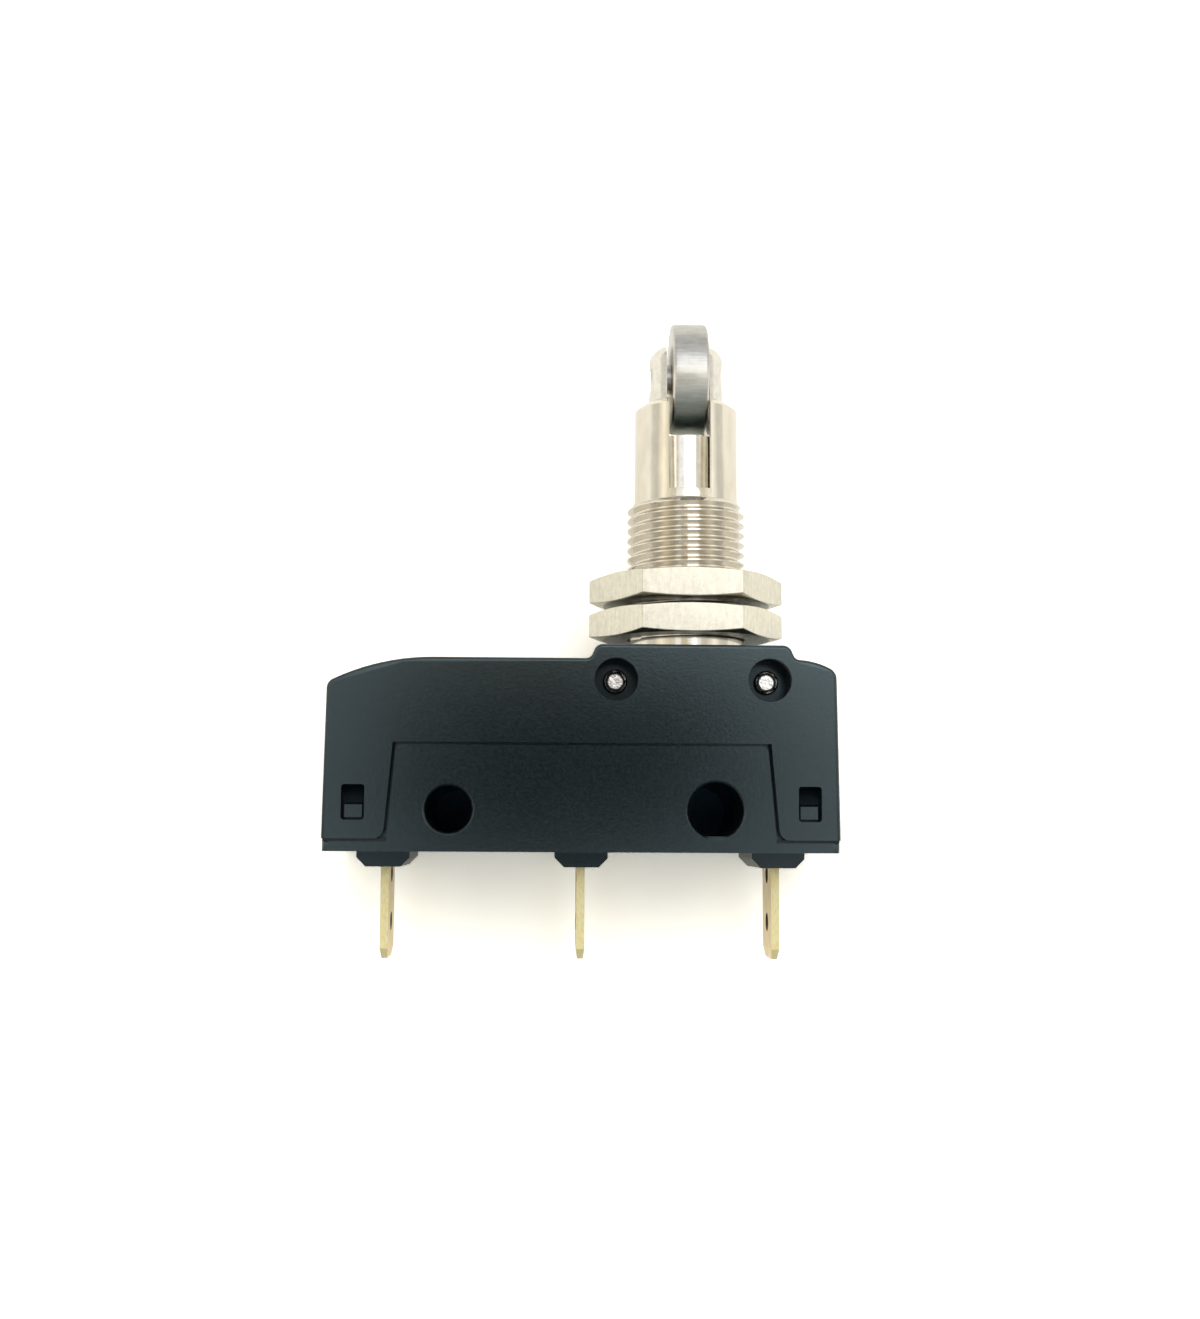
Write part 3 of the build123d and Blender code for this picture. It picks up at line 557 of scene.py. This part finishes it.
def tab_brass():
    """Stamped brass strip: bright rough edges with streaks, smoother broad sides with patches."""
    color = (0.95, 0.79, 0.48)
    streak_color, edge_color = (1.0, 0.74, 0.28), (1.0, 0.97, 0.60)
    tab_hole_shade_color = (0.05, 0.035, 0.02)
    finish = Finish("tab_brass", color, 0.4, metallic=1.0)
    patches = finish.noise((0.9, 0.9, 0.5), detail=4.0)
    lines = finish.noise((6.0, 6.0, 0.6), detail=2.0)
    streaks = finish.noise((7.0, 7.0, 1.8), detail=5.0, roughness=0.7).ramp(0.3, 0.62)
    shade = patches.spread() * 0.7 + lines.spread() * 0.3
    edge = finish.coordinate("Normal", "Y").math("ABSOLUTE").ramp(0.4, 0.8)
    broad = finish.mix(shade, tinted(color, 0.82), tinted(color, 1.03))
    brass = finish.mix(edge, broad, finish.mix(streaks, streak_color, edge_color))
    # Painted shade on the walls of the tabs' holes
    finish.set("Base Color", finish.mix(tab_hole_shade_share(finish), brass, tab_hole_shade_color))
    finish.set("Roughness", 0.3 + patches * 0.2 + edge * 0.15)
    finish.set("Metallic", 1.0 - edge)
    return finish.material


def tab_hole_shade_share(finish):
    """Share of painted shade: 1 on the walls of the tabs' holes, 0 elsewhere."""
    across = finish.coordinate("Object", "Y")
    height = finish.coordinate("Object", "Z")
    total = 0.0
    for hole_z in tab_hole_heights:
        away = distance(across, height - hole_z)
        total = away.within(tab_hole_radius, tab_hole_fade) + total
    return total


def seam_shadow_black():
    """Matt black of the painted shadow in the seam."""
    color = (0.013, 0.018, 0.022)
    finish = Finish("seam_shadow_black", color, 0.6, Specular_IOR_Level=0.3)
    clouds = finish.noise((2.0, 2.0, 2.0))
    finish.set("Base Color", finish.mix(clouds.spread(), tinted(color, 0.8), tinted(color, 1.3)))
    return finish.material


def rivet_steel():
    """Set rivet end: bright uneven stub, painted shade in the groove round it, and a broken bright
    ring.
    """
    color = (0.80, 0.79, 0.77)
    groove_shade_color = (0.035, 0.038, 0.04)
    finish = Finish("rivet_steel", color, 0.22, metallic=1.0)
    from_bush = (finish.coordinate("Object", "X") - bush_middle_x).math("ABSOLUTE")
    above = finish.coordinate("Object", "Z") - rivet_middle_z
    marks = finish.noise((1.7, 1.7, 1.7), detail=4.0, roughness=0.6)
    away = distance(from_bush - rivet_to_bush, above) + (marks - 0.5) * rivet_unevenness
    ring = away.between(ring_start, ring_end) * marks.ramp(0.4, 0.5)
    groove = away.ramp(*stub_end) * (1.0 - ring)
    stub = finish.mix(marks.spread(), tinted(color, 0.8), tinted(color, 1.15))
    # Painted shade in the groove and across the ring between its bright arcs
    finish.set("Base Color", finish.mix(groove, stub, groove_shade_color))
    finish.set("Roughness", 0.14 + marks * 0.2)
    finish.bump(marks, 0.05 * mm, 0.8)
    return finish.material


def red_moulding():
    """Smooth red button moulding."""
    color = (0.42, 0.03, 0.02)
    finish = Finish("red_button_moulding", color, 0.4)
    clouds = finish.noise((2.0, 2.0, 2.0))
    finish.set("Base Color", finish.mix(clouds.spread(), tinted(color, 0.85), tinted(color, 1.15)))
    return finish.material


def thread_rows():
    """Thread profile over one pitch: (share of the pitch, radius), from a root's middle upwards."""
    root = thread_crest_radius - thread_depth
    flat = root_share / 2
    crest = crest_share / 2
    rising = [
        (flat, root), (flat + rounding_share, root + rounding_depth),
        (0.5 - crest - rounding_share, thread_crest_radius - rounding_depth),
        (0.5 - crest, thread_crest_radius)]
    return rising + [(1.0 - share, radius) for share, radius in reversed(rising)]


def thread_points(turn):
    """Heights and radii of the thread up one line of the bush, at a share of a turn."""
    points = []
    count = round((thread_top_z - thread_low_z) / thread_pitch)
    # Two more rings below, so that every line starts with a whole one under the thread
    for ring in range(-2, count + 1):
        for share, radius in thread_rows():
            z = thread_low_z + (ring + share + turn + thread_start) * thread_pitch
            run_out = min(max((z - thread_low_z) / thread_pitch, 0.0), 1.0)
            radius = neck_radius + (radius - neck_radius) * run_out
            z = min(max(z, thread_low_z), thread_top_z)
            lead_in = sleeve_radius + (thread_top_z - z) + thread_lead_in
            points.append((z, max(min(radius, lead_in), sleeve_radius)))
    return points


def below_thread(low_z):
    """Half section (height, radius) of the bush from its bore out and up to the thread."""
    return [
        (low_z, spring_bore_radius), (low_z, foot_radius), (foot_top_z, foot_radius),
        (foot_top_z, neck_radius), (thread_low_z - neck_top_row, neck_radius),
        (thread_low_z, neck_radius)]


def above_thread(top_z):
    """Half section (height, radius) of the bush from the thread up and back down its bore."""
    return [
        (thread_top_z, sleeve_radius), (top_z - sleeve_chamfer_axial, sleeve_radius),
        (top_z, sleeve_radius - sleeve_chamfer_radial), (top_z, guide_bore_radius),
        (guide_shoulder_z, guide_bore_radius), (guide_shoulder_z, spring_bore_radius)]


def mesh_object(name, verts, faces, material):
    """A mesh piece at the origin, with one material."""
    mesh = bpy.data.meshes.new(name)
    mesh.from_pydata(verts, [], faces)
    mesh.materials.append(material)
    piece = bpy.data.objects.new(name, mesh)
    bpy.context.scene.collection.objects.link(piece)
    return piece


def make_bush(material):
    """Turned bush with a real helical thread and a slotted sleeve."""
    low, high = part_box("threaded_bush")
    axis_x = (low.x + high.x) / 2
    below, above = below_thread(low.z), above_thread(high.z)
    verts = []
    for column in range(bush_columns):
        turn = column / bush_columns
        angle = math.tau * turn
        for z, radius in below + thread_points(turn) + above:
            verts.append((axis_x + radius * math.cos(angle), radius * math.sin(angle), z))
    rows = len(verts) // bush_columns
    pitch_rows = len(thread_rows())
    last_thread_row = rows - len(above) - 1

    def closing_row(row):
        """Row of the first line that a row of the last line meets: one pitch up in the thread."""
        if row < len(below) or row > last_thread_row:
            return row
        return min(row + pitch_rows, last_thread_row)

    faces = []
    for column in range(bush_columns):
        here = column * rows
        after = (column + 1) % bush_columns * rows
        for row in range(rows):
            upper = (row + 1) % rows
            meets, meets_upper = row, upper
            if column == bush_columns - 1:
                meets, meets_upper = closing_row(row), closing_row(upper)
            faces.append((here + row, after + meets, after + meets_upper, here + upper))
    bush = mesh_object("bush_with_thread", verts, faces, material)
    clean_mesh(bush)
    cut_slot(bush, axis_x, high.z)
    shade_by_angle(bush, turned_smooth_deg)
    return bush


def clean_mesh(piece):
    """Merge the points that lie on each other and drop the faces that this leaves without area."""
    shape = bmesh.new()
    shape.from_mesh(piece.data)
    bmesh.ops.remove_doubles(shape, verts=shape.verts, dist=weld_distance)
    bmesh.ops.dissolve_degenerate(shape, edges=shape.edges, dist=weld_distance)
    bmesh.ops.recalc_face_normals(shape, faces=shape.faces)
    shape.to_mesh(piece.data)
    shape.free()


def box_corners(low, high):
    """Corners and faces of a box."""
    corners = [(x, y, z) for x in (low.x, high.x) for y in (low.y, high.y) for z in (low.z, high.z)]
    faces = [
        (0, 1, 3, 2), (4, 6, 7, 5), (0, 4, 5, 1), (2, 3, 7, 6), (0, 2, 6, 4), (1, 5, 7, 3)]
    return corners, faces


def cut_slot(bush, axis_x, top_z):
    """Cut the fork's slot through the sleeve and break its edges."""
    half = sleeve_slot_width / 2
    reach = sleeve_radius + mm
    low = Vector((axis_x - half, -reach, sleeve_slot_floor_z))
    high = Vector((axis_x + half, reach, top_z + mm))
    cutter = mesh_object("slot_cutter", *box_corners(low, high), bush.data.materials[0])
    cut = bush.modifiers.new("slot", "BOOLEAN")
    cut.operation = "DIFFERENCE"
    cut.solver = "EXACT"
    cut.object = cutter
    bpy.context.view_layer.update()
    graph = bpy.context.evaluated_depsgraph_get()
    done = bpy.data.meshes.new_from_object(bush.evaluated_get(graph))
    bush.modifiers.clear()
    bush.data = done
    bpy.data.objects.remove(cutter)
    shape = bmesh.new()
    shape.from_mesh(done)
    bmesh.ops.remove_doubles(shape, verts=shape.verts, dist=weld_distance)
    sharp = [
        edge for edge in shape.edges
        if len(edge.link_faces) == 2
        and edge.calc_face_angle() > math.radians(bush_bevel_from_deg)
        and min(vert.co.z for vert in edge.verts) > thread_top_z + zone_fade]
    bmesh.ops.bevel(
        shape, geom=sharp, offset=bush_edge_bevel, segments=2, profile=0.5, affect="EDGES",
        clamp_overlap=True)
    shape.to_mesh(done)
    shape.free()


def shade_by_angle(piece, limit_deg):
    """Smooth shading with sharp edges above an angle."""
    piece.data.shade_smooth()
    shape = bmesh.new()
    shape.from_mesh(piece.data)
    for edge in shape.edges:
        if len(edge.link_faces) == 2:
            edge.smooth = edge.calc_face_angle() < math.radians(limit_deg)
    shape.to_mesh(piece.data)
    shape.free()


def flange_seam(material):
    """Dark strip a little behind the edges that closes the seam between flange and housing, as a
    painted shadow.
    """
    low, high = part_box("switch_case")
    low = Vector((low.x + seam_inset, -front_face_y + seam_inset, seam_low_z - seam_overlap))
    high = Vector((high.x - seam_inset, front_face_y - seam_inset, seam_high_z + seam_overlap))
    return mesh_object("flange_seam", *box_corners(low, high), material)


def make_roller(material):
    """Roller with rounded rims, pushed against the right ear of the fork as in the photograph."""
    low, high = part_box("roller")
    middle = (low + high) / 2 + Vector((roller_shift, 0, 0))
    half = (high.x - low.x) / 2
    outer = (high.z - low.z) / 2
    profile = [(roller_bore, half), (outer - 3 * roller_rim, half)]
    for step in range(roller_rim_steps + 1):
        bend = math.radians(90 * step / roller_rim_steps)
        radius = outer - roller_rim * (1 - math.sin(bend))
        profile.append((radius, half - roller_rim * (1 - math.cos(bend))))
    profile += [(radius, -aside) for radius, aside in reversed(profile)]
    verts = []
    for column in range(roller_columns):
        angle = math.tau * column / roller_columns
        for radius, aside in profile:
            place = Vector((aside, radius * math.cos(angle), radius * math.sin(angle)))
            verts.append(middle + place)
    rows = len(profile)
    faces = []
    for column in range(roller_columns):
        here = column * rows
        after = (column + 1) % roller_columns * rows
        for row in range(rows):
            upper = (row + 1) % rows
            faces.append((here + row, here + upper, after + upper, after + row))
    roller = mesh_object("rimmed_roller", verts, faces, material)
    clean_mesh(roller)
    shade_by_angle(roller, turned_smooth_deg)
    return roller


def make_spring(node, wire, turns, material):
    """Round-wire coil in the place of a CAD spring, as a mesh that can be squashed."""
    low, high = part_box(node)
    middle = (low + high) / 2
    mean_radius = (high.x - low.x - wire) / 2
    rise = high.z - low.z - wire
    slope = math.atan2(rise, math.tau * mean_radius * turns)
    steps = round(spring_columns * turns)
    verts = []
    for step in range(steps + 1):
        angle = math.tau * turns * step / steps
        outward = Vector((math.cos(angle), math.sin(angle), 0.0))
        along = Vector((-math.sin(angle), math.cos(angle), 0.0))
        upward = Vector((0, 0, 1)) * math.cos(slope) - along * math.sin(slope)
        height = low.z + wire / 2 + rise * step / steps
        core = Vector((middle.x, middle.y, height)) + outward * mean_radius
        for point in range(wire_points):
            around = math.tau * point / wire_points
            rim = outward * math.cos(around) + upward * math.sin(around)
            verts.append(core + rim * wire / 2)
    first_end = tuple(reversed(range(wire_points)))
    last_end = tuple(range(steps * wire_points, (steps + 1) * wire_points))
    faces = [first_end, last_end]
    for step in range(steps):
        here, after = step * wire_points, (step + 1) * wire_points
        for point in range(wire_points):
            beside = (point + 1) % wire_points
            faces.append((here + point, here + beside, after + beside, after + point))
    spring = mesh_object(f"coiled_{node}", verts, faces, material)
    clean_mesh(spring)
    shade_by_angle(spring, wire_smooth_deg)
    return spring


def squash_spring(spring, node, body):
    """The spring rides on a body by its held end, with a mesh of its own, and the CAD spring is
    hidden.
    """
    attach(spring, body)
    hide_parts(node)
    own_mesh(spring)


def soften_edges(piece, width):
    """Narrow rounding on the sharp edges of a CAD node, by modifiers."""
    weld = piece.modifiers.new("weld", "WELD")
    weld.merge_threshold = 0.001 * mm
    flat = piece.modifiers.new("flat", "DECIMATE")
    flat.decimate_type = "DISSOLVE"
    flat.angle_limit = math.radians(1.0)
    bevel = piece.modifiers.new("edge", "BEVEL")
    bevel.width = width
    bevel.segments = 2
    bevel.limit_method = "ANGLE"
    bevel.angle_limit = math.radians(24.0)
    bevel.harden_normals = True


def dress(finishes):
    """Give every CAD node the finish of its material slot."""
    slots = {row["node"]: row["material_slot"] for row in frame["record"]["subparts"]}
    for name, node in frame["nodes"].items():
        node.data.materials.clear()
        node.data.materials.append(finishes[slots[name]])


def staged_mesh(name, corners, shading, material, surface):
    """One-faced piece of the stage whose material shows a surface shader."""
    shading.node("ShaderNodeOutputMaterial", None, {"Surface": surface})
    piece = mesh_object(name, corners, [tuple(range(len(corners)))], material)
    return piece


def empty_material(name):
    """A material without nodes, and the shading that adds them."""
    material = bpy.data.materials.new(name)
    material.use_nodes = True
    material.node_tree.nodes.clear()
    return material, Shading(material.node_tree)


def hole_shade_disc(x, radius):
    """Dark disc of painted shade on the sheet under a mounting hole, shown to the camera from the
    front only.
    """
    far_y = cad_box[1].y + sheet_gap / 2
    reach = radius + hole_shade_margin
    corners = []
    for index in range(hole_shade_points):
        angle = math.tau * index / hole_shade_points
        corners.append((x + reach * math.cos(angle), far_y, reach * math.sin(angle)))
    material, shading = empty_material("hole_shade")
    open_side = shading.light_path("Is Camera Ray") * shading.backfacing()
    surface = shading.mix_shaders(open_side, shading.diffuse(hole_shade_color), shading.clear())
    staged_mesh("hole_shade", corners, shading, material, surface)


def white_sheet():
    """Sheet right behind the part, seen from the front only, that lets other light through."""
    far_y = cad_box[1].y + sheet_gap
    size = sheet_half_size
    corners = [(x, far_y, z) for x, z in ((-size, -size), (size, -size), (size, size), (-size, size))]
    material, shading = empty_material("white_sheet")
    direct = shading.light_path("Is Camera Ray")
    mirrored = shading.light_path("Is Glossy Ray")
    through = shading.light_path("Is Transmission Ray")
    seen = direct.math("MAXIMUM", mirrored.math("MAXIMUM", through))
    paper = shading.diffuse(shading.mix(direct, sheet_mirrored, sheet_seen))
    front = 1.0 - shading.backfacing()
    surface = shading.mix_shaders(seen * front, shading.clear(), paper)
    staged_mesh("white_sheet", corners, shading, material, surface)


def lens_card():
    """Dark card and warm patch behind the lens, mirrored by the part and never seen themselves."""
    reach = card_aside + card_half_width * card_clear_from
    left = camera_place.x - reach
    right = camera_place.x + reach
    low = camera_place.z + card_rise - card_half_height * card_clear_from
    high = camera_place.z + patch_high
    depth = camera_place.y - card_distance
    corners = [(left, depth, low), (left, depth, high), (right, depth, high), (right, depth, low)]
    material, shading = empty_material("lens_card")
    aside = shading.coordinate("Object", "X") - camera_place.x
    above = shading.coordinate("Object", "Z") - camera_place.z
    across = (aside - card_aside).math("ABSOLUTE") * (1.0 / card_half_width)
    up = (above - card_rise - aside * card_tilt).math("ABSOLUTE") * (1.0 / card_half_height)
    from_middle = (across ** card_squareness + up ** card_squareness) ** (1.0 / card_squareness)
    dark = 1.0 - from_middle.ramp(card_solid_to, card_clear_from)
    warm = aside.between(
        (patch_from_x - patch_soft, patch_from_x + patch_soft),
        (patch_to_x - patch_soft, patch_to_x + patch_soft))
    warm = warm * above.ramp(patch_low - patch_soft, patch_low + patch_soft)
    tone = shading.mix(warm, card_dark, patch_warm)
    glow = shading.node("ShaderNodeEmission", None, {"Color": tone}).signal()
    surface = shading.mix_shaders(dark.math("MAXIMUM", warm), shading.clear(), glow)
    card = staged_mesh("lens_card", corners, shading, material, surface)
    card.visible_camera = False


def low_side_tint(place, level):
    """Grey of a height in the room, turning a little teal towards the dark low side."""
    share = max(0.0, 1.0 - place / teal_below)
    return (level * (1.0 - teal_less_red * share), level, level * (1.0 + teal_more_blue * share))


def light_room():
    """Pale room: bright in front, with bands round to the far side, dark on the low side."""
    world = bpy.data.worlds.new("pale_room")
    bpy.context.scene.world = world
    world.use_nodes = True
    world.node_tree.nodes.clear()
    room = Shading(world.node_tree)
    aside = room.coordinate("Generated", "X")
    frontward = room.coordinate("Generated", "Y") * -1.0
    turn = aside.math("ABSOLUTE").math("ARCTAN2", frontward) * (1.0 / math.pi)
    glow = room.node("ShaderNodeValToRGB", {"stops": room_round}, {"Fac": turn}).signal("Color")
    heights = [(place, low_side_tint(place, level)) for place, level in room_height]
    lift = room.coordinate("Generated", "Z") * 0.5 + 0.5
    level = room.node("ShaderNodeValToRGB", {"stops": heights}, {"Fac": lift}).signal("Color")
    left_front = (aside * -1.0).ramp(*warm_from_left) * frontward.ramp(*warm_from_front)
    tint = room.mix(left_front, (1.0, 1.0, 1.0), warm_left)
    glow = room.product(room.product(glow, level), tint)
    glow = room.mix(room.light_path("Is Camera Ray"), glow, (1.0, 1.0, 1.0))
    background = room.node("ShaderNodeBackground", None, {"Color": glow}).signal()
    room.node("ShaderNodeOutputWorld", None, {"Surface": background})


def key_lamp():
    """Large soft lamp from the upper right, in front of the part."""
    lamp = bpy.data.lights.new("key_lamp", "AREA")
    lamp.shape = "DISK"
    lamp.size = key_size
    lamp.energy = key_power
    lamp.color = key_color
    holder = bpy.data.objects.new("key_lamp", lamp)
    bpy.context.scene.collection.objects.link(holder)
    target = (cad_box[0] + cad_box[1]) / 2
    holder.location = key_place
    holder.rotation_euler = (key_place - target).to_track_quat("Z", "Y").to_euler()


def make_camera():
    """Camera at the photograph's place, looking slightly up along the part."""
    data = bpy.data.cameras.new("camera")
    data.sensor_width = sensor_mm
    data.lens = sensor_mm * focal_length_px / photo_height_px
    data.clip_start = 1.0 * mm
    data.clip_end = 10.0
    camera = bpy.data.objects.new("camera", data)
    bpy.context.scene.collection.objects.link(camera)
    turn = Matrix.Rotation(math.radians(camera_yaw_deg), 4, "Z")
    turn @= Matrix.Rotation(math.radians(camera_pitch_deg), 4, "X")
    turn @= Matrix.Rotation(math.radians(camera_roll_deg), 4, "Y")
    level = Matrix.Rotation(math.radians(90), 4, "X")
    camera.matrix_world = Matrix.Translation(camera_place) @ turn @ level
    bpy.context.scene.camera = camera


make_camera()
white_sheet()
lens_card()
light_room()
key_lamp()
bpy.context.scene.view_settings.view_transform = "Standard"

finishes = {
    "black_moulding": black_moulding(),
    "nickel_plated_brass": plated_brass(),
    "brushed_nickel_nut": brushed_nut(),
    "roller_steel": ground_roller(),
    "rivet_steel": rivet_steel(),
    "spring_steel": plain_metal("spring_steel", (0.55, 0.55, 0.56), 0.32),
    "tab_brass": tab_brass(),
    "blade_bronze": plain_metal("blade_bronze", (0.74, 0.49, 0.28), 0.3),
    "contact_silver": plain_metal("contact_silver", (0.86, 0.86, 0.84), 0.25),
    "button_moulding": red_moulding(),
}
dress(finishes)
frame["nodes"]["plunger"].data.materials[0] = turned_steel()

for nut in ("lower_panel_nut", "upper_panel_nut"):
    soften_edges(frame["nodes"][nut], nut_edge_bevel)
for moulding in ("actuator_housing", "switch_case"):
    soften_edges(frame["nodes"][moulding], moulding_edge_bevel)
# Painted shade under the mounting holes
for hole_x, radius in mounting_holes:
    hole_shade_disc(hole_x, radius)
# Dark strip that paints the shadow in the seam above the flange
seam = flange_seam(seam_shadow_black())
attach(seam, "switch_body")
roller = make_roller(finishes["roller_steel"])
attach(roller, "roller_group")
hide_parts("roller")

spring = make_spring("return_spring", return_wire, return_turns, finishes["spring_steel"])
squash_spring(spring, "return_spring", "switch_body")
spring = make_spring(
    "overtravel_spring", overtravel_wire, overtravel_turns, finishes["spring_steel"])
squash_spring(spring, "overtravel_spring", "plunger_group")

bush = make_bush(finishes["nickel_plated_brass"])
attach(bush, "switch_body")
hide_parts("threaded_bush")
